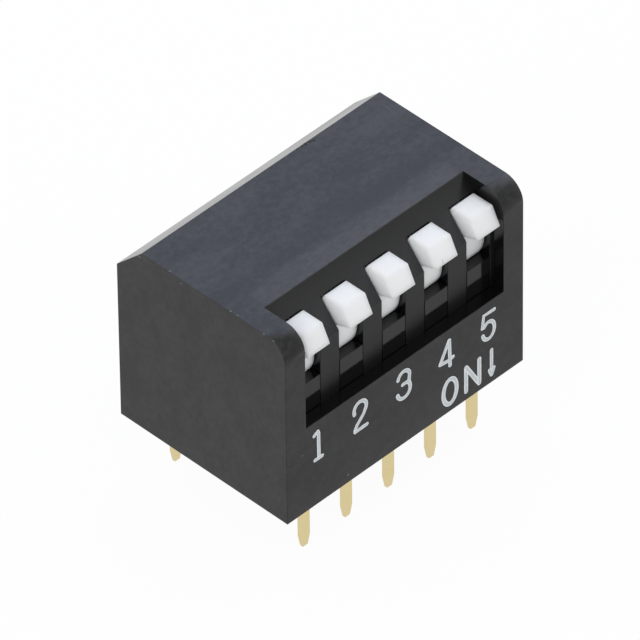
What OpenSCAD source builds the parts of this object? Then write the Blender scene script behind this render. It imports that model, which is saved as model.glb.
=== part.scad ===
// Piano dip switch with five levers, for through-hole mounting on a circuit board.
// The row of poles runs along X, the front with the levers faces -Y, and +Z is up.
// The origin is the middle of the pin grid, in the plane where the case sits on the board.

/* [Row of switches] */
// Number of switch poles side by side
poles = 5; // [1:1:10]
// Distance from one pole to the next
pitch = 2.54; // [2.45:0.01:3]
// Distance between the two rows of pins
row_gap = 7.62; // [7:0.02:8.2]

/* [Cover] */
// Width of the cover beyond one pitch for each pole
end_margin = 1.52; // [1.3:0.02:2.4]
// Depth of the case from its front face to its back face
case_d = 9.9; // [9.6:0.1:11]
// Distance that the case sits back from the middle of the pin grid
case_shift = 0.06; // [0:0.01:0.12]
// Height of the case above the board
case_h = 10; // [9:0.1:12]
// Thickness of the side walls
side_wall = 1.19; // [0.8:0.01:1.3]
// Thickness of the top plate
top_t = 0.73; // [0.5:0.01:1]
// Size of the chamfer along the back edge of the top
back_chamfer = 1.5; // [0.8:0.05:2]
// Thickness of the wall behind that chamfer
chamfer_wall = 0.8; // [0.5:0.05:1.2]
// Radius of the front top corners of the side walls
corner_r = 1.05; // [0.4:0.05:2]

/* [Recess] */
// Distance from the front face to the back edge of the recess in the top
recess_d = 2.37; // [2.1:0.01:2.7]
// Distance from the front face to the upright fronts of the ribs
rib_set = 0.67; // [0.4:0.01:0.9]
// Height of the upright rib fronts above the sill
rib_front_h = 3.38; // [2.8:0.02:3.8]
// Thickness of the ribs between the slots
rib_t = 1.13; // [1:0.01:1.3]
// Distance from the pivot line down to the sill in front of the slots
sill_drop = 2.63; // [2.4:0.01:2.9]
// Depth of the thick lip that runs under the sill and the ribs
lip_d = 1.04; // [0.9:0.01:1.1]
// Height of that lip
lip_h = 1.07; // [0.6:0.01:1.4]

/* [Base] */
// Air between the base and the cover round it
base_gap = 0.03; // [0.02:0.01:0.08]
// Plastic left outside the legs of the terminals
base_edge = 0.185; // [0.1:0.005:0.25]
// Distance from the pivot line down to the top of the finger that closes each slot
finger_drop = 0.97; // [0.9:0.01:1.1]
// Air between a finger and the skirt that turns behind it
finger_gap = 0.05; // [0.03:0.01:0.12]

/* [Levers] */
// Distance from the front face to the pivot line
pivot_set = 2.69; // [2.6:0.01:2.9]
// Air between the top plate and the skirt of a lever
skirt_gap = 0.21; // [0.12:0.01:0.4]
// Radius of the round skirt in front of the hub
skirt_r = 1.76; // [1.6:0.01:1.85]
// Angle of the lower end of the skirt, measured down from the front
skirt_end_a = 42; // [38:1:50]
// Radius of the hub
hub_r = 1.2; // [0.9:0.05:1.5]
// Gap on each side of a lever in its slot
side_gap = 0.055; // [0.03:0.005:0.1]
// Radius of the trunnions that the lever turns on
trunnion_r = 0.55; // [0.4:0.01:0.8]
// Running gap round a trunnion and at its end
run_gap = 0.03; // [0.015:0.005:0.06]
// Wall left in a rib between two trunnions
rib_web = 0.42; // [0.3:0.02:0.6]
// Height of the flat top of the beak above the pivot
beak_top = 2.11; // [1.95:0.01:2.2]
// Distance from the pivot forward to the back edge of that flat top
beak_back = 1.13; // [1.12:0.01:1.4]
// Distance from the pivot forward to the front edge of that flat top
beak_front = 2.24; // [2:0.01:2.4]
// Distance from the pivot forward to the tip of the beak
nose_reach = 2.69; // [2.5:0.01:2.74]
// Height of the tip of the beak above the pivot
nose_h = 1.19; // [1:0.01:1.4]
// Angle up from the front at which the underside of the beak meets the skirt
nose_root_a = 25; // [15:1:35]
// Angle up from the front at which the back of the beak meets the skirt
nape_a = 63; // [58:1:70]
// Angle that a lever tips from off to on
throw_a = 40; // [30:1:44]

/* [Tails] */
// Width of the tail that hangs from the hub
tail_w = 0.8; // [0.5:0.05:1.1]
// Thickness of the tail along the row
tail_t = 1.1; // [0.9:0.02:1.2]
// Width of the foot of the tail, which the moving contact clasps
foot_w = 1.1; // [0.8:0.02:1.3]
// Air between the foot and the moving contact
foot_gap = 0.03; // [0.01:0.01:0.06]
// Height of the flared shoulder above the foot
shoulder_h = 0.28; // [0.15:0.01:0.5]
// Height of the slope from the tail out to the shoulder
flare_h = 0.3; // [0.15:0.01:0.5]

/* [Contacts] */
// Radius of the curved track that the moving contact sweeps
track_r = 4.9; // [4.7:0.01:5.1]
// Thickness of the moving contact's sheet
clip_t = 0.15; // [0.1:0.01:0.2]
// Width of the moving contact along the row
clip_w = 0.9; // [0.6:0.02:1]
// Length of the moving contact's arms up the foot
clip_arm = 0.95; // [0.6:0.05:1.2]
// Air between the moving contact and the track
clip_gap = 0.05; // [0.03:0.01:0.1]
// Angle between the front and the rear contact pad
split_a = 5; // [4:0.5:8]
// Angle that the rear contact pad covers
rear_pad_a = 10.5; // [8:0.5:12]
// Width of the contact pads and of the strips inside the base
pad_w = 0.9; // [0.6:0.02:1.2]

/* [Pins] */
// Thickness of the terminal strip
strip_t = 0.25; // [0.2:0.01:0.3]
// Width of a pin along the row
pin_w = 0.5; // [0.4:0.01:0.6]
// Length of a pin below the case
pin_l = 3.2; // [2.5:0.1:4]
// Height inside the base at which a pin widens into its strip
pin_root = 0.5; // [0.3:0.05:0.9]
// Length of the tapered tip
tip_l = 0.6; // [0.3:0.05:1]
// Width of the end of the tip
tip_w = 0.3; // [0.2:0.01:0.4]
// Thickness of the end of the tip
tip_t = 0.17; // [0.1:0.01:0.19]

/* [Hidden] */
$fn = 96;
// Overrun of a cut past the face that it opens
over = 1;
// Overlap of two cuts or two strips that meet
lap = 0.05;
case_w = poles * pitch + end_margin;
front_y = case_shift - case_d / 2;
back_y = case_shift + case_d / 2;
slot_w = pitch - rib_t;
ceiling_z = case_h - top_t;
pivot_y = front_y + pivot_set;
pivot_z = ceiling_z - skirt_gap - skirt_r;
sill_z = pivot_z - sill_drop;
lip_z = sill_z - lip_h;
lip_y = front_y + lip_d;
rib_y = front_y + rib_set;
recess_w = case_w - 2 * side_wall;
base_half_d = row_gap / 2 + strip_t / 2 + base_edge;
cavity_half_d = base_half_d + base_gap;
finger_z = pivot_z - finger_drop;
finger_back_y = pivot_y - sqrt(pow(skirt_r + finger_gap, 2) - pow(finger_drop, 2));
bearing_d = (rib_t - rib_web) / 2;
on_a = throw_a - 90;
front_knee_r = track_r + strip_t / 2;
front_knee_y = pivot_y + row_gap / 2;
front_pad_end_a = on_a - split_a / 2;
rear_pad_start_a = on_a + split_a / 2;
rear_pad_end_a = rear_pad_start_a + rear_pad_a;
clip_r = track_r - clip_gap;
foot_r = clip_r - clip_t - foot_gap;
clip_half = foot_w / 2 + foot_gap + clip_t;
shoulder_r = clip_r - clip_arm;
flare_r = shoulder_r - shoulder_h;
POLE_NAMES = ["lever", "moving_contact", "terminal_front", "terminal_rear"];

// Place of pole i along the row
function pole_x(i) = (i - (poles + 1) / 2) * pitch;

// A point at radius r and angle a round an axis along X, counted from +Y up towards +Z
function round_pivot(r, a) = [r * cos(a), r * sin(a)];

// Extrudes a side view, drawn as Y and Z, to a width along X about its middle
module along_row(width) {
    translate([-width / 2, 0, 0])
        rotate([90, 0, 90])
            linear_extrude(height = width)
                children();
}

// Side view of the case: rounded at the front top, chamfered at the back top
module case_outline() {
    difference() {
        polygon([
            [front_y, 0],
            [back_y, 0],
            [back_y, case_h - back_chamfer],
            [back_y - back_chamfer, case_h],
            [front_y, case_h]
        ]);
        difference() {
            translate([front_y - over, case_h - corner_r])
                square([corner_r + over, corner_r + over]);
            translate([front_y + corner_r, case_h - corner_r])
                circle(r = corner_r);
        }
    }
}

// Side view of what is cut away in front of the ribs, between the side walls
module recess_outline() {
    polygon([
        [front_y - over, sill_z],
        [rib_y, sill_z],
        [rib_y, sill_z + rib_front_h],
        [front_y + recess_d, case_h],
        [front_y + recess_d, case_h + over],
        [front_y - over, case_h + over]
    ]);
}

// Side view of one lever's cell, open to the front and closed by the top and the back wall
module cell_outline() {
    chamfer_sum = back_y - back_chamfer + case_h - chamfer_wall * sqrt(2);
    polygon([
        [front_y - over, sill_z],
        [lip_y, sill_z],
        [lip_y, lip_z],
        [cavity_half_d, lip_z],
        [cavity_half_d, chamfer_sum - cavity_half_d],
        [chamfer_sum - ceiling_z, ceiling_z],
        [front_y - over, ceiling_z]
    ]);
}

// Side view of the space that the base fills from below
module base_space_outline() {
    polygon([
        [-cavity_half_d, -over],
        [cavity_half_d, -over],
        [cavity_half_d, sill_z],
        [lip_y, sill_z],
        [lip_y, lip_z],
        [-cavity_half_d, lip_z]
    ]);
}

// Side view of the groove in which a finger of the base slides up behind the front wall
module groove_outline() {
    translate([rib_y - base_gap, -over])
        square([pivot_y - rib_y + base_gap, finger_z + over]);
}

// Blind bearing holes for the trunnions of one lever
module bearing_holes() {
    translate([-slot_w / 2 - bearing_d, pivot_y, pivot_z])
        rotate([0, 90, 0])
            cylinder(r = trunnion_r + run_gap, h = slot_w + 2 * bearing_d);
}

module cover() {
    color([0.1, 0.1, 0.11])
        difference() {
            along_row(case_w)
                case_outline();
            along_row(recess_w)
                recess_outline();
            along_row(recess_w)
                base_space_outline();
            for (i = [1 : poles]) {
                translate([pole_x(i), 0, 0]) {
                    along_row(slot_w) {
                        cell_outline();
                        groove_outline();
                    }
                    bearing_holes();
                }
            }
        }
}

// Side view of the base without its fingers
module base_outline() {
    polygon([
        [-base_half_d, 0],
        [base_half_d, 0],
        [base_half_d, sill_z - base_gap],
        [lip_y + base_gap, sill_z - base_gap],
        [lip_y + base_gap, lip_z - base_gap],
        [-base_half_d, lip_z - base_gap]
    ]);
}

module base() {
    color([0.13, 0.13, 0.14])
        difference() {
            union() {
                along_row(recess_w - 2 * base_gap)
                    base_outline();
                for (i = [1 : poles])
                    translate([pole_x(i), 0, 0])
                        along_row(slot_w - 2 * base_gap)
                            translate([rib_y, 0])
                                square([finger_back_y - rib_y, finger_z]);
            }
            for (i = [1 : poles])
                translate([pole_x(i), 0, 0]) {
                    along_row(slot_w)
                        track_outline();
                    front_strip(lap);
                    rear_strip(lap);
                }
        }
}

// Side view of the round trough behind a finger, in which the moving contact swings
module track_outline() {
    intersection() {
        translate([pivot_y, pivot_z])
            circle(r = track_r);
        translate([finger_back_y, 0])
            square([back_y - finger_back_y, case_h]);
    }
}

// Side view of a lever about its pivot: beak, skirt and hub
module lever_outline() {
    nose_root = round_pivot(skirt_r, 180 - nose_root_a);
    nape = round_pivot(skirt_r, 180 - nape_a);
    circle(r = hub_r);
    polygon([
        [-beak_back, beak_top],
        [-beak_front, beak_top],
        [-nose_reach, nose_h],
        nose_root,
        [0, 0],
        nape
    ]);
    intersection() {
        circle(r = skirt_r);
        polygon([
            [0, 0],
            round_pivot(2 * skirt_r, 180 - nape_a),
            [-2 * skirt_r, 2 * skirt_r],
            [-2 * skirt_r, -skirt_r],
            round_pivot(2 * skirt_r, 180 + skirt_end_a)
        ]);
    }
}

// Side view of the tail about the pivot, hanging down, with its shoulder and its foot
module tail_outline() {
    intersection() {
        circle(r = foot_r);
        polygon([
            [-tail_w / 2, 0],
            [-tail_w / 2, flare_h - flare_r],
            [-clip_half, -flare_r],
            [-clip_half, foot_gap - shoulder_r],
            [-foot_w / 2, foot_gap - shoulder_r],
            [-foot_w / 2, -track_r],
            [foot_w / 2, -track_r],
            [foot_w / 2, foot_gap - shoulder_r],
            [clip_half, foot_gap - shoulder_r],
            [clip_half, -flare_r],
            [tail_w / 2, flare_h - flare_r],
            [tail_w / 2, 0]
        ]);
    }
}

module lever(i) {
    lever_w = slot_w - 2 * side_gap;
    trunnion_span = slot_w + 2 * (bearing_d - run_gap);
    color([0.93, 0.94, 0.95])
        translate([pole_x(i), pivot_y, pivot_z]) {
            along_row(lever_w)
                lever_outline();
            along_row(tail_t)
                tail_outline();
            translate([-trunnion_span / 2, 0, 0])
                rotate([0, 90, 0])
                    cylinder(r = trunnion_r, h = trunnion_span);
        }
}

// Sheet metal stirrup that clasps the foot of the tail and wipes along the track
module moving_contact(i) {
    color([0.8, 0.62, 0.35])
        translate([pole_x(i), pivot_y, pivot_z])
            along_row(clip_w)
                difference() {
                    intersection() {
                        circle(r = clip_r);
                        translate([-clip_half, -track_r])
                            square([2 * clip_half, track_r - shoulder_r]);
                    }
                    intersection() {
                        circle(r = clip_r - clip_t);
                        translate([clip_t - clip_half, -track_r])
                            square([2 * (clip_half - clip_t), track_r]);
                    }
                }
}

// Side view of a curved contact pad between two angles round the pivot, grown inwards by skin
module pad_outline(from_a, to_a, skin) {
    reach = 2 * track_r;
    translate([pivot_y, pivot_z])
        intersection() {
            difference() {
                circle(r = track_r + strip_t);
                circle(r = track_r - skin);
            }
            polygon([[0, 0], round_pivot(reach, from_a), round_pivot(reach, to_a)]);
        }
}

// A leg of the terminal strip from the root of its pin up to height top_z
module leg_outline(leg_y, top_z) {
    translate([leg_y - strip_t / 2, pin_root])
        square([strip_t, top_z - pin_root]);
}

module front_strip(skin) {
    along_row(pad_w) {
        leg_outline(-row_gap / 2, pivot_z - sqrt(pow(front_knee_r, 2) - pow(front_knee_y, 2)));
        pad_outline(-90 - asin(front_knee_y / front_knee_r), front_pad_end_a, skin);
    }
    pin(-row_gap / 2);
}

module rear_strip(skin) {
    pad_end = round_pivot(track_r, rear_pad_end_a);
    run_y = pivot_y + pad_end[0] - strip_t;
    run_z = pivot_z + pad_end[1];
    along_row(pad_w) {
        leg_outline(row_gap / 2, run_z);
        difference() {
            translate([run_y, run_z - strip_t])
                square([row_gap / 2 + strip_t / 2 - run_y, strip_t]);
            translate([pivot_y, pivot_z])
                circle(r = track_r - skin);
        }
        pad_outline(rear_pad_start_a, rear_pad_end_a, skin);
    }
    pin(row_gap / 2);
}

// A pin with its tapered tip, seen from the front times seen from the side
module pin(pin_y) {
    intersection() {
        translate([0, pin_y + strip_t / 2, 0])
            rotate([90, 0, 0])
                linear_extrude(height = strip_t)
                    pin_outline(pin_w, tip_w);
        translate([0, pin_y, 0])
            along_row(pin_w)
                pin_outline(strip_t, tip_t);
    }
}

// Outline of a pin of a given width that narrows to its tip
module pin_outline(width, tip_width) {
    polygon([
        [-width / 2, pin_root + lap],
        [-width / 2, tip_l - pin_l],
        [-tip_width / 2, -pin_l],
        [tip_width / 2, -pin_l],
        [width / 2, tip_l - pin_l],
        [width / 2, pin_root + lap]
    ]);
}

module terminal_front(i) {
    color([0.85, 0.75, 0.45])
        translate([pole_x(i), 0, 0])
            front_strip(0);
}

module terminal_rear(i) {
    color([0.85, 0.75, 0.45])
        translate([pole_x(i), 0, 0])
            rear_strip(0);
}

cover();
base();
for (i = [1 : poles]) {
    lever(i);
    moving_contact(i);
    terminal_front(i);
    terminal_rear(i);
}
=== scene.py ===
import math

import bmesh
import bpy
from mathutils import Matrix, Vector


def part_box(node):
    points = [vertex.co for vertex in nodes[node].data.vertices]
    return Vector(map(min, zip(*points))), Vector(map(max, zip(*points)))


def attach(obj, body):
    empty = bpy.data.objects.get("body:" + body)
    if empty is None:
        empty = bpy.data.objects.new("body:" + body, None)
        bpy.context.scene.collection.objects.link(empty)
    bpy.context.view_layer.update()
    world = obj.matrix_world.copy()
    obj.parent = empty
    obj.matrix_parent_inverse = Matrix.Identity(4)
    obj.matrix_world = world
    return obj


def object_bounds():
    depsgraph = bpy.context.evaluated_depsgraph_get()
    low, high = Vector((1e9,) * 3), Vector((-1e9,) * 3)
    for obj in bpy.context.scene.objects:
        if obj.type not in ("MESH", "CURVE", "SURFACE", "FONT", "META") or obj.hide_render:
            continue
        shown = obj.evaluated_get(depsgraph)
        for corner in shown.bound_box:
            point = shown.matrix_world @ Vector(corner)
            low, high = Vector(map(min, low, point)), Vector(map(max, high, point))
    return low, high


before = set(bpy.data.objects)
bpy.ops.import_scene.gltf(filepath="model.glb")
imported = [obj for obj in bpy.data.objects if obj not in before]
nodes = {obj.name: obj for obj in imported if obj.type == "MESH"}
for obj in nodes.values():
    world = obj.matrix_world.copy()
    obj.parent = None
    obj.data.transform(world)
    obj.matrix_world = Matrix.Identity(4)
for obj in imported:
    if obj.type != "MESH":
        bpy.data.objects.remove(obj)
cad_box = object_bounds()

# Terminals: each pole has a front and a rear strip, stamped from thin copper alloy with a
# flash of pale gold. Base material is drawn strip, so fine lines run along it. The strips are
# moulded into the base, and their pins reach down through the board.
pole_numbers = [1, 2, 3, 4, 5]
millimetre = 0.001


class Wiring:
    """Short ways to add and join the nodes of one node tree."""

    def __init__(self, tree):
        self.tree = tree

    def add(self, kind, **settings):
        node = self.tree.nodes.new(kind)
        for name, value in settings.items():
            setattr(node, name, value)
        return node

    def feed(self, socket, value):
        """Joins an output to a socket, or sets the socket to a plain value."""
        if isinstance(value, bpy.types.NodeSocket):
            self.tree.links.new(value, socket)
        else:
            socket.default_value = value

    def calc(self, operation, *values, clamp=False):
        """One sum, product, comparison or the like."""
        node = self.add("ShaderNodeMath", operation=operation, use_clamp=clamp)
        for socket, value in zip(node.inputs, values):
            self.feed(socket, value)
        return node.outputs["Value"]

    def product(self, first, *others):
        for other in others:
            first = self.calc("MULTIPLY", first, other)
        return first

    def mapped(self, value, start, end, low=0.0, high=1.0, soft=False):
        """Goes from low to high while the value goes from start to end."""
        node = self.add(
            "ShaderNodeMapRange", interpolation_type="SMOOTHSTEP" if soft else "LINEAR"
        )
        labels = ("Value", "From Min", "From Max", "To Min", "To Max")
        for label, part in zip(labels, (value, start, end, low, high)):
            self.feed(node.inputs[label], part)
        return node.outputs["Result"]

    def blend(self, share, first, second, kind="RGBA", clamp=True):
        """The first colour or number where the share is 0 and the second where it is 1."""
        node = self.add("ShaderNodeMix", data_type=kind, clamp_factor=clamp)
        for label, part in (("Factor", share), ("A", first), ("B", second)):
            self.feed(node.inputs[label], part)
        return node.outputs["Result"]

    def noise(self, place, **settings):
        """Cloudy noise from 0 to 1. Its settings carry the names of the node's inputs."""
        node = self.add("ShaderNodeTexNoise")
        self.feed(node.inputs["Vector"], place)
        for label, value in settings.items():
            self.feed(node.inputs[label], value)
        return node.outputs["Fac"]

    def object_mm(self, stretch=(1, 1, 1)):
        """Coordinates on the object in millimetres, stretched for grain with a direction."""
        scale = self.add("ShaderNodeMapping")
        scale.inputs["Scale"].default_value = [s / millimetre for s in stretch]
        place = self.add("ShaderNodeTexCoord")
        self.feed(scale.inputs["Vector"], place.outputs["Object"])
        return scale.outputs["Vector"]

    def xyz(self, vector):
        """A vector's three numbers, found under X, Y and Z."""
        node = self.add("ShaderNodeSeparateXYZ")
        self.feed(node.inputs["Vector"], vector)
        return node.outputs

    def place_group(self, group, **values):
        """Puts a node group in the tree and feeds its inputs, named with _ for a space."""
        node = self.add("ShaderNodeGroup", node_tree=group)
        for label, value in values.items():
            self.feed(node.inputs[label.replace("_", " ")], value)
        return node


def new_group(name, inputs, outputs):
    """An empty shader node group, and the sockets that its inside reads and feeds."""
    group = bpy.data.node_groups.new(name, "ShaderNodeTree")
    for direction, sockets in (("INPUT", inputs), ("OUTPUT", outputs)):
        for label, kind, *usual in sockets:
            socket = group.interface.new_socket(
                label, in_out=direction, socket_type="NodeSocket" + kind
            )
            if usual:
                socket.default_value = usual[0]
    given = group.nodes.new("NodeGroupInput").outputs
    result = group.nodes.new("NodeGroupOutput").inputs
    return group, given, result


def new_material(name, roughness, metallic=0.0):
    """A material whose shader carries the values that are the same all over the surface."""
    material = bpy.data.materials.new(name)
    material.use_nodes = True
    shader = material.node_tree.nodes["Principled BSDF"]
    shader.inputs["Roughness"].default_value = roughness
    shader.inputs["Metallic"].default_value = metallic
    return material, shader


def join_finish(wires, shader, finish, bump_strength, bump_depth_mm):
    """Joins a finish group's colour, roughness and relief to the shader."""
    bump = wires.add("ShaderNodeBump")
    wires.feed(bump.inputs["Strength"], bump_strength)
    wires.feed(bump.inputs["Distance"], bump_depth_mm * millimetre)
    wires.feed(bump.inputs["Height"], finish.outputs["Height"])
    wires.feed(shader.inputs["Normal"], bump.outputs["Normal"])
    wires.feed(shader.inputs["Base Color"], finish.outputs["Colour"])
    wires.feed(shader.inputs["Roughness"], finish.outputs["Roughness"])


def dress(node, material):
    """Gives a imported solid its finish."""
    mesh = nodes[node].data
    mesh.materials.clear()
    mesh.materials.append(material)


def outward_edges():
    """Geometry nodes that mark the outward edges, so that inner corners stay sharp."""
    tree = bpy.data.node_groups.new("outward_edges", "GeometryNodeTree")
    for direction in ("INPUT", "OUTPUT"):
        tree.interface.new_socket(
            "Geometry", in_out=direction, socket_type="NodeSocketGeometry"
        )
    wires = Wiring(tree)
    angle = wires.add("GeometryNodeInputMeshEdgeAngle").outputs["Signed Angle"]
    sharp = wires.calc("GREATER_THAN", angle, math.radians(30))
    store = wires.add("GeometryNodeStoreNamedAttribute", data_type="FLOAT", domain="EDGE")
    wires.feed(store.inputs["Name"], "bevel_weight_edge")
    wires.feed(store.inputs["Value"], sharp)
    wires.feed(store.inputs["Geometry"], wires.add("NodeGroupInput").outputs["Geometry"])
    wires.feed(wires.add("NodeGroupOutput").inputs["Geometry"], store.outputs["Geometry"])
    return tree


mark_outward = outward_edges()
same_place = 0.0005 * millimetre
same_plane = math.radians(0.5)


def break_edges(node, width_mm, segments=2):
    """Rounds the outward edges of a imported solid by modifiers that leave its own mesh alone."""
    piece = nodes[node]
    weld = piece.modifiers.new("weld", "WELD")
    weld.merge_threshold = same_place
    flats = piece.modifiers.new("flats", "DECIMATE")
    flats.decimate_type = "DISSOLVE"
    flats.angle_limit = same_plane
    marks = piece.modifiers.new("marks", "NODES")
    marks.node_group = mark_outward
    edges = piece.modifiers.new("edges", "BEVEL")
    edges.width = width_mm * millimetre
    edges.segments = segments
    edges.limit_method = "WEIGHT"
    edges.use_clamp_overlap = True
    edges.harden_normals = True


def drawn_metal():
    """Group: plated strip with fine draw lines along Z and soft cloudy tint."""
    group, given, result = new_group(
        "drawn_metal",
        [("Bright", "Color"), ("Dull", "Color"), ("Line Depth", "Float", 0.3),
         ("Smoothest", "Float", 0.25), ("Roughest", "Float", 0.4)],
        [("Colour", "Color"), ("Roughness", "Float"), ("Height", "Float")],
    )
    wires = Wiring(group)
    across, along = 14, 0.9
    lines = wires.noise(wires.object_mm((across, across, along)), Scale=1.0, Detail=3.0)
    clouds = wires.noise(wires.object_mm(), Scale=0.9, Detail=4.0)
    wires.feed(result["Colour"], wires.blend(clouds, given["Bright"], given["Dull"]))
    polish = wires.mapped(lines, 0.0, 1.0, given["Smoothest"], given["Roughest"])
    wires.feed(result["Roughness"], polish)
    wires.feed(result["Height"], wires.product(lines, given["Line Depth"]))
    return group


plated_strip = drawn_metal()


def metal(name, bright, dull, smoothest, roughest):
    """A plated metal: lines and clouds from the shared group."""
    material, shader = new_material(name, roughest, metallic=1.0)
    wires = Wiring(material.node_tree)
    finish = wires.place_group(
        plated_strip, Bright=bright, Dull=dull, Smoothest=smoothest, Roughest=roughest
    )
    join_finish(wires, shader, finish, bump_strength=0.35, bump_depth_mm=0.01)
    return material


pale_gold = metal(
    "pale_gold", bright=(1.0, 0.875, 0.495, 1), dull=(1.0, 0.805, 0.42, 1),
    smoothest=0.22, roughest=0.36,
)
for number in pole_numbers:
    for row in ("terminal_front", "terminal_rear"):
        dress(f"{row}_{number}", pale_gold)
        break_edges(f"{row}_{number}", width_mm=0.014)

# Base: a black moulding that closes the case from below and holds the strips. Its five fingers
# show as glossy faces that fill the slots, level with the fronts of the ribs.
def moulded_grain():
    """Group: moulded plastic with a fine grain, soft flow clouds and sparse pale specks."""
    group, given, result = new_group(
        "moulded_grain",
        [("Base", "Color"), ("Cloud", "Color"), ("Speck", "Color", (0.3, 0.3, 0.3, 1)),
         ("Speck Amount", "Float", 0.0), ("Smoothest", "Float", 0.3),
         ("Roughest", "Float", 0.5), ("Grains Per Mm", "Float", 30.0)],
        [("Colour", "Color"), ("Roughness", "Float"), ("Height", "Float")],
    )
    wires = Wiring(group)
    place = wires.object_mm()
    flow = wires.object_mm((0.45, 1, 1))
    clouds = wires.noise(flow, Scale=0.55, Detail=5.0, Distortion=0.8)
    tint = wires.blend(clouds, given["Base"], given["Cloud"])
    # Each cell draws a number, and the cells above the limit hold a speck at their middle.
    cells = wires.add("ShaderNodeTexVoronoi")
    wires.feed(cells.inputs["Vector"], place)
    wires.feed(cells.inputs["Scale"], 1.3)
    drawn = wires.add("ShaderNodeSeparateColor")
    wires.feed(drawn.inputs["Color"], cells.outputs["Color"])
    limit, largest, edge = 0.72, 0.045, 0.015
    reach = wires.mapped(drawn.outputs["Red"], limit, 1.0, 0.0, largest)
    dot = wires.mapped(wires.calc("SUBTRACT", reach, cells.outputs["Distance"]), 0.0, edge)
    speckled = wires.blend(wires.product(dot, given["Speck Amount"]), tint, given["Speck"])
    wires.feed(result["Colour"], speckled)
    grain = wires.noise(place, Scale=given["Grains Per Mm"], Detail=3.0)
    sheen = wires.blend(0.5, clouds, grain, kind="FLOAT")
    dim, bright = 0.35, 0.65
    polish = wires.mapped(sheen, dim, bright, given["Smoothest"], given["Roughest"])
    wires.feed(result["Roughness"], polish)
    wires.feed(result["Height"], grain)
    return group


moulding = moulded_grain()


def plastic(name, base, cloud, smoothest, roughest, grain_mm, speck=0.0):
    """A moulded plastic: grain, clouds and specks from the shared group."""
    material, shader = new_material(name, roughest)
    wires = Wiring(material.node_tree)
    finish = wires.place_group(
        moulding, Base=base, Cloud=cloud, Smoothest=smoothest, Roughest=roughest,
        Grains_Per_Mm=1 / grain_mm, Speck_Amount=speck,
    )
    join_finish(wires, shader, finish, bump_strength=0.25, bump_depth_mm=0.004)
    return material, shader


smooth_black, _ = plastic(
    "smooth_black", base=(0.004, 0.004, 0.004, 1), cloud=(0.007, 0.007, 0.008, 1),
    smoothest=0.05, roughest=0.09, grain_mm=0.05,
)
dress("base", smooth_black)
break_edges("base", width_mm=0.01)

# Moving contacts: bright plated spring strip, folded into a stirrup and clasped on the foot of
# each lever's tail.
contact_gold = metal(
    "contact_gold", bright=(0.85, 0.70, 0.38, 1), dull=(0.78, 0.60, 0.30, 1),
    smoothest=0.18, roughest=0.3,
)
for number in pole_numbers:
    dress(f"moving_contact_{number}", contact_gold)
    break_edges(f"moving_contact_{number}", width_mm=0.02)

# Levers: one white nylon moulding each, with beak, round skirt, hub and tail. Light sinks a
# little way into it, so its edges look soft. It snaps into the ribs by its trunnions.
white_nylon, nylon_shader = plastic(
    "white_nylon", base=(0.935, 0.962, 0.970, 1), cloud=(0.950, 0.970, 0.976, 1),
    smoothest=0.42, roughest=0.55, grain_mm=0.08,
)
nylon_shader.inputs["Subsurface Weight"].default_value = 0.5
nylon_shader.inputs["Subsurface Radius"].default_value = (1.0, 0.96, 0.92)
nylon_shader.inputs["Subsurface Scale"].default_value = 1.0 * millimetre
nylon_shader.inputs["Specular IOR Level"].default_value = 0.3
# The moulding's edges are soft, so light turns over them without a line.
nylon_wires = Wiring(white_nylon.node_tree)
soft_edges = nylon_wires.add("ShaderNodeBevel", samples=8)
nylon_wires.feed(soft_edges.inputs["Radius"], 0.4 * millimetre)
nylon_bump = nylon_shader.inputs["Normal"].links[0].from_node
nylon_wires.feed(nylon_bump.inputs["Normal"], soft_edges.outputs["Normal"])


def handling_mark():
    """Group: a mask that is 1 within a half width of the line between two places in mm."""
    group, given, result = new_group(
        "handling_mark",
        [("Start", "Vector"), ("End", "Vector"), ("Half Width", "Float", 0.05),
         ("So Far", "Float", 0.0)],
        [("Mask", "Float")],
    )
    wires = Wiring(group)

    def of_vectors(operation, first, second, output="Vector"):
        node = wires.add("ShaderNodeVectorMath", operation=operation)
        wires.feed(node.inputs[0], first)
        wires.feed(node.inputs["Scale" if operation == "SCALE" else 1], second)
        return node.outputs[output]

    place = wires.object_mm()
    along = of_vectors("SUBTRACT", given["End"], given["Start"])
    away = of_vectors("SUBTRACT", place, given["Start"])
    reached = of_vectors("DOT_PRODUCT", away, along, "Value")
    whole = of_vectors("DOT_PRODUCT", along, along, "Value")
    nearest = of_vectors("SCALE", along, wires.calc("DIVIDE", reached, whole, clamp=True))
    gap = of_vectors("DISTANCE", away, nearest, "Value")
    ragged = wires.product(given["Half Width"], wires.noise(place, Scale=9.0))
    full_to, gone_from = 1.2, 2.4
    mark = wires.mapped(wires.calc("DIVIDE", gap, ragged), full_to, gone_from, 1.0, 0.0)
    wires.feed(result["Mask"], wires.calc("MAXIMUM", mark, given["So Far"]))
    return group


mark_group = handling_mark()


def mark_mask(wires, marks):
    """One mask for several marks, each a start, an end and a half width in mm."""
    mask = 0.0
    for start, end, half_width in marks:
        node = wires.place_group(
            mark_group, Start=start, End=end, Half_Width=half_width, So_Far=mask
        )
        mask = node.outputs["Mask"]
    return mask


def marked(wires, shader, mask, colour, roughness, strength):
    """Mixes a mark's colour and roughness over what the shader has."""
    amount = wires.product(mask, strength)
    for label, kind, value in (("Base Color", "RGBA", colour), ("Roughness", "FLOAT", roughness)):
        under = shader.inputs[label].links[0].from_socket
        wires.feed(shader.inputs[label], wires.blend(amount, under, value, kind))


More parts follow.
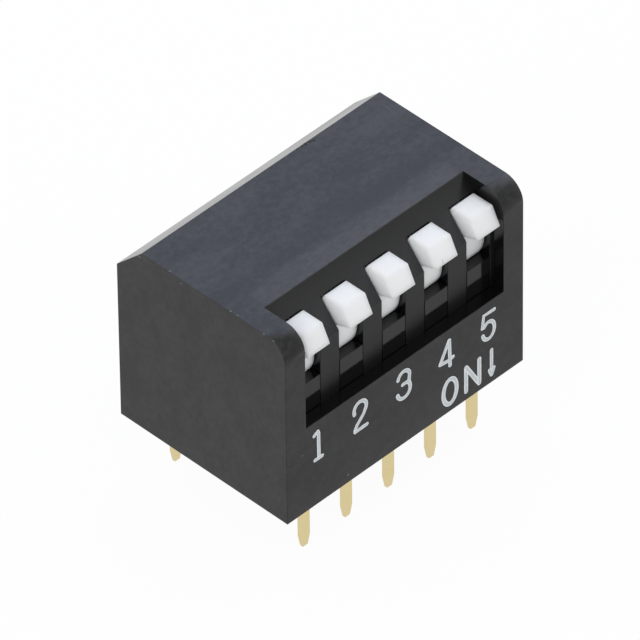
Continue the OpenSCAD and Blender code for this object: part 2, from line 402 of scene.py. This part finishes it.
# A small dark scratch, low on the front of the fourth lever's beak.
lever_scratch = mark_mask(nylon_wires, [
    ((2.36, -4.77, 8.72), (2.31, -4.84, 8.59), 0.016),
    ((2.31, -4.84, 8.59), (2.37, -4.86, 8.56), 0.016),
])
marked(
    nylon_wires, nylon_shader, lever_scratch,
    colour=(0.3, 0.3, 0.29, 1), roughness=0.6, strength=0.6,
)
for number in pole_numbers:
    dress(f"lever_{number}", white_nylon)
    break_edges(f"lever_{number}", width_mm=0.05, segments=3)

# Cover: black glass-filled moulding, semi-gloss, pressed over the base. Its greys in the light
# are mostly the white surroundings mirrored in the skin of the plastic.
gloss_black, cover_shader = plastic(
    "gloss_black", base=(0.003, 0.003, 0.003, 1), cloud=(0.006, 0.006, 0.006, 1),
    smoothest=0.14, roughest=0.22, grain_mm=0.06, speck=0.5,
)
cover_wires = Wiring(gloss_black.node_tree)


def rib_front_bloom():
    """Group: adds roughness on the upright rib fronts, which were not polished in the mould."""
    group, given, result = new_group(
        "rib_front_bloom",
        [("Roughness", "Float"), ("Front", "Float"), ("Top", "Float"), ("Extra", "Float")],
        [("Roughness", "Float")],
    )
    wires = Wiring(group)
    place = wires.xyz(wires.object_mm())
    facing = wires.xyz(wires.add("ShaderNodeNewGeometry").outputs["Normal"])
    plane_slack, faces_forward = 0.02, -0.9
    on_plane = wires.calc("COMPARE", place["Y"], given["Front"], plane_slack)
    below = wires.calc("LESS_THAN", place["Z"], given["Top"])
    forward = wires.calc("LESS_THAN", facing["Y"], faces_forward)
    upright = wires.product(on_plane, below, forward)
    rougher = wires.calc("MULTIPLY_ADD", upright, given["Extra"], given["Roughness"])
    wires.feed(result["Roughness"], rougher)
    return group


bloom = cover_wires.place_group(
    rib_front_bloom(), Roughness=cover_shader.inputs["Roughness"].links[0].from_socket,
    Front=-4.22, Top=8.05, Extra=0.2,
)
cover_wires.feed(cover_shader.inputs["Roughness"], bloom.outputs["Roughness"])


def haze_and_painted_sheen():
    """Group: a pale mottled haze on the case's outer faces, thinner in a band along the top.

    Part of it is painted sheen: faces that look up get more than upright ones, as painted light
    from above, and the recesses get none, as painted shade. It is painted lighter on the lip in
    front of that band and on the lower half of the rib slopes.
    """
    group, given, result = new_group(
        "haze_and_painted_sheen",
        [("Colour", "Color"), ("Haze", "Color"), ("Wall", "Float"), ("Front", "Float"),
         ("Back", "Float"), ("Top", "Float"), ("Upright Share", "Float"),
         ("Band At", "Float"), ("Band Width", "Float"), ("Lip Extra", "Float"),
         ("Slope Extra", "Float")],
        [("Colour", "Color")],
    )
    wires = Wiring(group)
    calc, product, mapped = wires.calc, wires.product, wires.mapped
    place = wires.xyz(wires.object_mm())
    facing = wires.xyz(wires.add("ShaderNodeNewGeometry").outputs["Normal"])

    # Only the case's outer faces get the haze, and the recesses get none, as painted shade.
    off_middle = calc("ABSOLUTE", place["X"])
    beside = calc("GREATER_THAN", off_middle, given["Wall"])
    before = calc("LESS_THAN", place["Y"], given["Front"])
    behind = calc("GREATER_THAN", place["Y"], given["Back"])
    on_top = calc("GREATER_THAN", place["Z"], given["Top"])
    outside = calc("MAXIMUM", calc("MAXIMUM", beside, before), calc("MAXIMUM", behind, on_top))

    # Wide patches and a finer mottle make the haze, and a darker band along the top thins it.
    patches = wires.noise(wires.object_mm((0.35, 1, 0.8)), Scale=0.8, Detail=3.0)
    mottle = wires.noise(
        wires.object_mm((0.8, 1, 1)), Scale=3.2, Detail=4.0, Roughness=0.75
    )
    patch_share, mottle_share, band_thinning = 0.4, 0.6, 0.09
    clouds = calc("ADD", product(patches, patch_share), product(mottle, mottle_share))
    off_band = calc("DIVIDE", calc("SUBTRACT", place["Y"], given["Band At"]), given["Band Width"])
    band = product(calc("EXPONENT", product(off_band, off_band, -1.0)), on_top)
    banded = calc("SUBTRACT", clouds, product(band, band_thinning))
    bare_to, full_from = 0.42, 0.60
    # Faces that look up get more haze than upright ones: painted light from above.
    painted_top_light = mapped(facing["Z"], 0.0, 1.0, given["Upright Share"], 1.0)
    amount = product(mapped(banded, bare_to, full_from), outside, painted_top_light)

    # It is painted lighter on the lip and on the rib slopes, and fades out towards the side walls
    # as painted shade.
    fades_from, gone_at = 5.3, 6.0
    between = mapped(off_middle, gone_at, fades_from, soft=True)
    lip_starts, lip_full = -1.1, -1.75
    lip = product(mapped(place["Y"], lip_starts, lip_full, soft=True), on_top, between)
    faces_up, slopes_above = 0.3, 8.0
    tilted = product(
        calc("GREATER_THAN", facing["Z"], faces_up),
        calc("GREATER_THAN", place["Z"], slopes_above),
    )
    slope_starts, slope_full = -1.8, -3.8
    slope = product(mapped(place["Y"], slope_starts, slope_full, soft=True), tilted, between)
    painted_lip_and_slope_light = calc(
        "ADD", product(lip, given["Lip Extra"]), product(slope, given["Slope Extra"])
    )
    share = calc("ADD", amount, painted_lip_and_slope_light)
    hazed = wires.blend(share, given["Colour"], given["Haze"], clamp=False)
    wires.feed(result["Colour"], hazed)
    return group


# A pale haze on the cover, partly real and partly painted sheen on its lit outer faces and tops.
skin = cover_wires.place_group(
    haze_and_painted_sheen(), Colour=cover_shader.inputs["Base Color"].links[0].from_socket,
    Haze=(0.027, 0.027, 0.029, 1), Wall=5.93, Front=-4.86, Back=3.4, Top=9.97,
    Upright_Share=0.55, Band_At=-0.8, Band_Width=0.55, Lip_Extra=0.65, Slope_Extra=0.8,
)
cover_wires.feed(cover_shader.inputs["Base Color"], skin.outputs["Colour"])

# Small pale marks on its left upper edge and on the front.
pale_edge_marks = mark_mask(cover_wires, [
    ((-7.06, -1.70, 9.99), (-7.04, -1.66, 9.99), 0.04),
    ((-7.03, -2.09, 9.99), (-7.03, -2.05, 9.99), 0.035),
    ((-7.10, -3.70, 9.98), (-7.09, -3.64, 9.98), 0.03),
    ((-7.10, -4.25, 9.94), (-7.09, -4.19, 9.95), 0.04),
    ((-6.72, -4.89, 8.77), (-6.71, -4.89, 8.74), 0.03),
    ((-7.11, 3.70, 9.75), (-7.11, 3.56, 9.76), 0.035),
    ((-7.11, 1.19, 9.80), (-7.11, 1.16, 9.79), 0.035),
    ((-7.06, 1.91, 10.0), (-7.03, 1.88, 10.0), 0.035),
    ((-3.49, -4.89, 0.42), (-3.45, -4.89, 0.44), 0.05),
    ((-6.19, -4.89, 3.31), (-6.17, -4.89, 3.31), 0.035),
])
marked(
    cover_wires, cover_shader, pale_edge_marks,
    colour=(0.16, 0.165, 0.175, 1), roughness=0.5, strength=0.6,
)
# Small dents close to the ridge at the back of the top, drawn as painted dark shade.
dent_shade = mark_mask(cover_wires, [
    ((2.06, 3.47, 10.0), (2.12, 3.48, 10.0), 0.05),
    ((2.33, 3.42, 10.0), (2.38, 3.46, 10.0), 0.06),
    ((2.52, 3.40, 10.0), (2.56, 3.47, 10.0), 0.08),
    ((2.74, 3.43, 10.0), (2.80, 3.39, 10.0), 0.08),
    ((2.92, 3.33, 10.0), (2.98, 3.35, 10.0), 0.06),
])
marked(
    cover_wires, cover_shader, dent_shade,
    colour=(0.006, 0.005, 0.004, 1), roughness=0.7, strength=0.9,
)
# A faint straight scratch at the right end of the top.
faint_scratch = mark_mask(cover_wires, [((6.64, 2.87, 10.0), (6.52, 1.99, 10.0), 0.03)])
marked(
    cover_wires, cover_shader, faint_scratch,
    colour=(0.06, 0.06, 0.065, 1), roughness=0.45, strength=0.5,
)
dress("cover", gloss_black)
break_edges("cover", width_mm=0.022)

# Printing: the pole numbers, the word ON and its arrow, pad-printed in white on the front face
# with a round-ended line. The ink stands a hair above the plastic.
front_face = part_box("cover")[0].y
stroke = 0.195 * millimetre
bold_stroke = 0.23 * millimetre
ink_thickness = 0.012 * millimetre
ink_sunk = 0.002 * millimetre
closing_gap = 0.01 * millimetre
cap_steps = 8
# Each later stroke of a sign lies this share of the ink's thickness higher than the last.
overprint = 0.06


def arc(cx, cz, rx, rz, start, end, steps=14):
    """Points on an ellipse between two angles in degrees, 0 to the right and 90 up."""
    angles = [math.radians(start + (end - start) * k / steps) for k in range(steps + 1)]
    return [(cx + rx * math.cos(a), cz + rz * math.sin(a)) for a in angles]


# Strokes of each sign in millimetres, from its own lower left corner.
sign_strokes = {
    "1": [[(0.085, 1.40), (0.29, 1.52)],
          [(0.29, 1.52), (0.335, 1.38), (0.35, 0.0)],
          [(0.12, 0.0), (0.54, 0.0)]],
    "2": [arc(0.445, 1.16, 0.37, 0.395, 203, -38)
          + [(0.66, 0.76), (0.48, 0.56), (0.25, 0.33), (0.14, 0.15), (0.14, 0.01)],
          [(0.14, 0.01), (0.84, 0.02)]],
    "3": [arc(0.46, 1.18, 0.345, 0.36, 172, -15) + [(0.78, 0.96), (0.77, 0.82), (0.80, 0.66)],
          [(0.39, 0.82)] + arc(0.46, 0.46, 0.385, 0.42, 62, -171)],
    "4": [[(0.62, 1.50), (0.08, 0.47)],
          [(0.08, 0.46), (0.50, 0.39), (0.86, 0.43)],
          [(0.64, 1.49), (0.68, 0.06)]],
    "5": [[(0.80, 1.505), (0.17, 1.52), (0.09, 0.86)],
          arc(0.46, 0.525, 0.36, 0.485, 138, -165)],
    "O": [arc(0.463, 0.663, 0.40, 0.69, 0, 360, 28)],
    "N": [[(0.088, 0.01), (0.088, 1.37)],
          [(0.10, 1.36), (0.87, 0.0)],
          [(0.886, -0.02), (0.886, 1.35)]],
    "arrow": [[(0.31, 1.38), (0.315, 0.02)],
              [(0.19, 0.30), (0.31, -0.02)],
              [(0.45, 0.29), (0.32, -0.02)]],
}


def ink_line(mesh, points, x, z, lift, width):
    """Adds one round-ended line of ink along points to a bmesh, standing on the front face."""
    path = [Vector((x + px * millimetre, 0, z + pz * millimetre)) for px, pz in points]
    closed = (path[0] - path[-1]).length < closing_gap
    if closed:
        path = path[:-1]
    count = len(path)
    half = width / 2
    back_y, top_y = front_face + ink_sunk, front_face - lift
    rim_share = mesh.verts.layers.float["ink_rim"]

    def row(places, y, share):
        made = [mesh.verts.new((place.x, y, place.z)) for place in places]
        for vert in made:
            vert[rim_share] = share
        return made

    left, right = [], []
    for k, point in enumerate(path):
        way = Vector((0, 0, 0))
        if k or closed:
            way += (point - path[k - 1]).normalized()
        if k < count - 1 or closed:
            way += (path[(k + 1) % count] - point).normalized()
        way.normalize()
        side = Vector((-way.z, 0, way.x)) * half
        left.append(point + side)
        right.append(point - side)
    middle = row(path, top_y, 0.0)
    left_top, left_low = row(left, top_y, 1.0), row(left, back_y, 1.0)
    right_top, right_low = row(right, top_y, 1.0), row(right, back_y, 1.0)
    for k in range(count if closed else count - 1):
        n = (k + 1) % count
        mesh.faces.new((middle[k], middle[n], left_top[n], left_top[k]))
        mesh.faces.new((middle[k], middle[n], right_top[n], right_top[k]))
        mesh.faces.new((left_top[k], left_top[n], left_low[n], left_low[k]))
        mesh.faces.new((right_top[k], right_top[n], right_low[n], right_low[k]))
        mesh.faces.new((left_low[k], left_low[n], right_low[n], right_low[k]))
    if closed:
        return

    def cap(end, way, k, first_top, first_low, last_top, last_low):
        """Rounds one end of the line from its first side to its last."""
        spin = math.atan2(way.z, way.x)
        turns = [spin + math.pi / 2 - math.pi * j / cap_steps for j in range(1, cap_steps)]
        places = [end + Vector((math.cos(a), 0, math.sin(a))) * half for a in turns]
        top = [first_top[k]] + row(places, top_y, 1.0) + [last_top[k]]
        low = [first_low[k]] + row(places, back_y, 1.0) + [last_low[k]]
        for j in range(cap_steps):
            mesh.faces.new((middle[k], top[j], top[j + 1]))
            mesh.faces.new((top[j], top[j + 1], low[j + 1], low[j]))
        mesh.faces.new(low)

    cap(path[-1], path[-1] - path[-2], -1, left_top, left_low, right_top, right_low)
    cap(path[0], path[0] - path[1], 0, right_top, right_low, left_top, left_low)


white_ink, ink_shader = plastic(
    "white_ink", base=(0.50, 0.56, 0.60, 1), cloud=(0.68, 0.735, 0.77, 1),
    smoothest=0.45, roughest=0.6, grain_mm=0.05,
)
ink_wires = Wiring(white_ink.node_tree)


def ink_rim(wires):
    """A mask for the rim of each line, where the pad squeezed the ink out thicker, unevenly."""
    share = wires.add("ShaderNodeAttribute", attribute_name="ink_rim").outputs["Fac"]
    rim_starts, rim_full = 0.25, 0.85
    rim = wires.mapped(share, rim_starts, rim_full, soft=True)
    blots = wires.noise(wires.object_mm(), Scale=5.0, Detail=3.0)
    thin_to, thick_from, thin_share = 0.35, 0.6, 0.35
    return wires.product(rim, wires.mapped(blots, thin_to, thick_from, low=thin_share))


marked(
    ink_wires, ink_shader, ink_rim(ink_wires),
    colour=(0.94, 0.97, 0.98, 1), roughness=0.5, strength=1.0,
)


def print_sign(sign, x_mm, z_mm, width=stroke):
    """Builds one printed sign as its own piece on the cover."""
    name = f"print_{sign}"
    shape = bmesh.new()
    shape.verts.layers.float.new("ink_rim")
    for k, points in enumerate(sign_strokes[sign]):
        lift = ink_thickness * (1 + overprint * k)
        ink_line(shape, points, x_mm * millimetre, z_mm * millimetre, lift, width)
    bmesh.ops.recalc_face_normals(shape, faces=shape.faces)
    mesh = bpy.data.meshes.new(name)
    shape.to_mesh(mesh)
    shape.free()
    piece = bpy.data.objects.new(name, mesh)
    bpy.context.scene.collection.objects.link(piece)
    mesh.materials.append(white_ink)
    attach(piece, "housing")


number_z, word_z = 2.56, 0.47
number_x = {"1": -5.55, "2": -3.18, "3": -0.58, "4": 1.98, "5": 4.53}
for digit, x in number_x.items():
    print_sign(digit, x, number_z)
print_sign("O", 2.19, word_z, bold_stroke)
print_sign("N", 3.54, word_z, bold_stroke)
print_sign("arrow", 4.86, word_z)

# Studio: a sheet of pale acrylic lit from below, as a light table, with a brighter sweep behind,
# under a pale tent that is open and duller low in front. Cool daylight comes in high at the
# back right, and one soft lamp at the left fills in.
floor_half = 0.6
floor_z = cad_box[0].z
floor_mesh = bpy.data.meshes.new("floor")
floor_mesh.from_pydata(
    [(-floor_half, -floor_half, floor_z), (floor_half, -floor_half, floor_z),
     (floor_half, floor_half, floor_z), (-floor_half, floor_half, floor_z)],
    [], [(0, 1, 2, 3)],
)
floor = bpy.data.objects.new("floor", floor_mesh)
bpy.context.scene.collection.objects.link(floor)
acrylic, acrylic_shader = new_material("lit_acrylic", roughness=0.9)
acrylic_shader.inputs["Base Color"].default_value = (0.95, 0.95, 0.95, 1)
acrylic_shader.inputs["Specular IOR Level"].default_value = 0.0

# The sheet's glow as it lights the object, as its gloss mirrors it, and as the eye sees it.
room_light, mirrored_light, seen_light = 0.66, 0.67, 1.0
mirrored_behind, front_drop = 0.92, 0.10
shadow_share = 0.05
# In millimetres along Y, where the sweep behind and the drop in front begin and are full.
sweep_starts, sweep_full = 12.0, 20.0
drop_starts, drop_full = -6.4, -8.5
table = Wiring(acrylic.node_tree)
ray = table.add("ShaderNodeLightPath").outputs
floor_y = table.xyz(table.object_mm())["Y"]
sweep = table.mapped(
    floor_y, sweep_starts, sweep_full,
    mirrored_light - room_light, mirrored_behind - room_light, soft=True,
)
front_end = table.mapped(floor_y, drop_starts, drop_full, 0.0, -front_drop, soft=True)
mirrored = table.product(ray["Is Glossy Ray"], table.calc("ADD", sweep, front_end))
to_eye = table.calc("MULTIPLY_ADD", ray["Is Camera Ray"], seen_light - room_light, room_light)
glow = table.add("ShaderNodeEmission")
glow.inputs["Color"].default_value = (1, 1, 1, 1)
table.feed(glow.inputs["Strength"], table.calc("ADD", to_eye, mirrored))
sheet = table.add("ShaderNodeMixShader")
glow_share = table.calc("MULTIPLY_ADD", ray["Is Camera Ray"], -shadow_share, 1.0)
table.feed(sheet.inputs["Fac"], glow_share)
table.feed(sheet.inputs[1], acrylic_shader.outputs["BSDF"])
table.feed(sheet.inputs[2], glow.outputs["Emission"])
surface = acrylic.node_tree.nodes["Material Output"].inputs["Surface"]
table.feed(surface, sheet.outputs["Shader"])
floor_mesh.materials.append(acrylic)

world = bpy.data.worlds.new("light_tent")
bpy.context.scene.world = world
world.use_nodes = True
tent = Wiring(world.node_tree)
surround = world.node_tree.nodes["Background"]
ray = tent.add("ShaderNodeLightPath").outputs
heading = tent.add("ShaderNodeTexCoord").outputs["Generated"]


def towards(place):
    """How nearly a ray heads for a place in the tent: 1 is straight at it."""
    node = tent.add("ShaderNodeVectorMath", operation="DOT_PRODUCT")
    tent.feed(node.inputs[0], heading)
    tent.feed(node.inputs[1], Vector(place).normalized())
    return node.outputs["Value"]


tent_light, mirrored_tent = 0.76, 1.0
tent_white = (1.0, 1.0, 1.0, 1)
# The opening looks duller where it is mirrored, but lets in a little more light.
opening_place, opening_rim, opening_core = (0.5, -0.77, 0.4), 0.55, 0.95
opening_grey, opening_lights = (0.60, 0.61, 0.60, 1), -0.6
window_place, window_rim, window_core = (0.52, 0.52, 0.67), 0.66, 0.97
daylight = (1.17, 1.28, 1.55, 1)
opening = tent.mapped(towards(opening_place), opening_rim, opening_core, soft=True)
dulled = tent.mapped(ray["Is Glossy Ray"], 0.0, 1.0, opening_lights, 1.0)
cloth = tent.blend(tent.product(opening, dulled), tent_white, opening_grey, clamp=False)
window = tent.mapped(towards(window_place), window_rim, window_core, soft=True)
tent.feed(surround.inputs["Color"], tent.blend(window, cloth, daylight))
level = tent.mapped(ray["Is Glossy Ray"], 0.0, 1.0, tent_light, mirrored_tent)
tent.feed(surround.inputs["Strength"], level)

lamp = bpy.data.lights.new("left_fill", "AREA")
lamp.shape = "SQUARE"
lamp.size = 0.2
lamp.energy = 0.22
lamp.color = (1.0, 1.0, 0.98)
stand = bpy.data.objects.new("left_fill", lamp)
stand.location = (-0.26, -0.01, 0.17)
lamp_aim = Vector((0, 0, 0.006))
stand.rotation_euler = (lamp_aim - stand.location).to_track_quat("-Z", "Y").to_euler()
bpy.context.scene.collection.objects.link(stand)

# Camera: a long lens in front, to the left and above, as the photograph was taken. Its right
# and up are found from its heading first, and then turned by the small roll.
azimuth, elevation, roll = (math.radians(a) for a in (-44.95, 42.17, -0.74))
distance = 0.5232
aim_right, aim_up = -0.106 * millimetre, 2.851 * millimetre
focal_px, image_px = 12364, 640
back = Vector((
    math.sin(azimuth) * math.cos(elevation),
    -math.cos(azimuth) * math.cos(elevation),
    math.sin(elevation),
))
right = Vector((math.cos(azimuth), math.sin(azimuth), 0))
up = back.cross(right)
place = right * aim_right + up * aim_up + back * distance
tilted_right = right * math.cos(roll) + up * math.sin(roll)
tilted_up = up * math.cos(roll) - right * math.sin(roll)
turn = Matrix((tilted_right, tilted_up, back)).transposed().to_4x4()
camera_data = bpy.data.cameras.new("camera")
camera_data.sensor_width = 36
camera_data.lens = focal_px / image_px * camera_data.sensor_width
camera_data.clip_start, camera_data.clip_end = 0.01, 10
camera = bpy.data.objects.new("camera", camera_data)
camera.matrix_world = Matrix.Translation(place) @ turn
bpy.context.scene.collection.objects.link(camera)
bpy.context.scene.camera = camera
bpy.context.scene.view_settings.view_transform = "Standard"
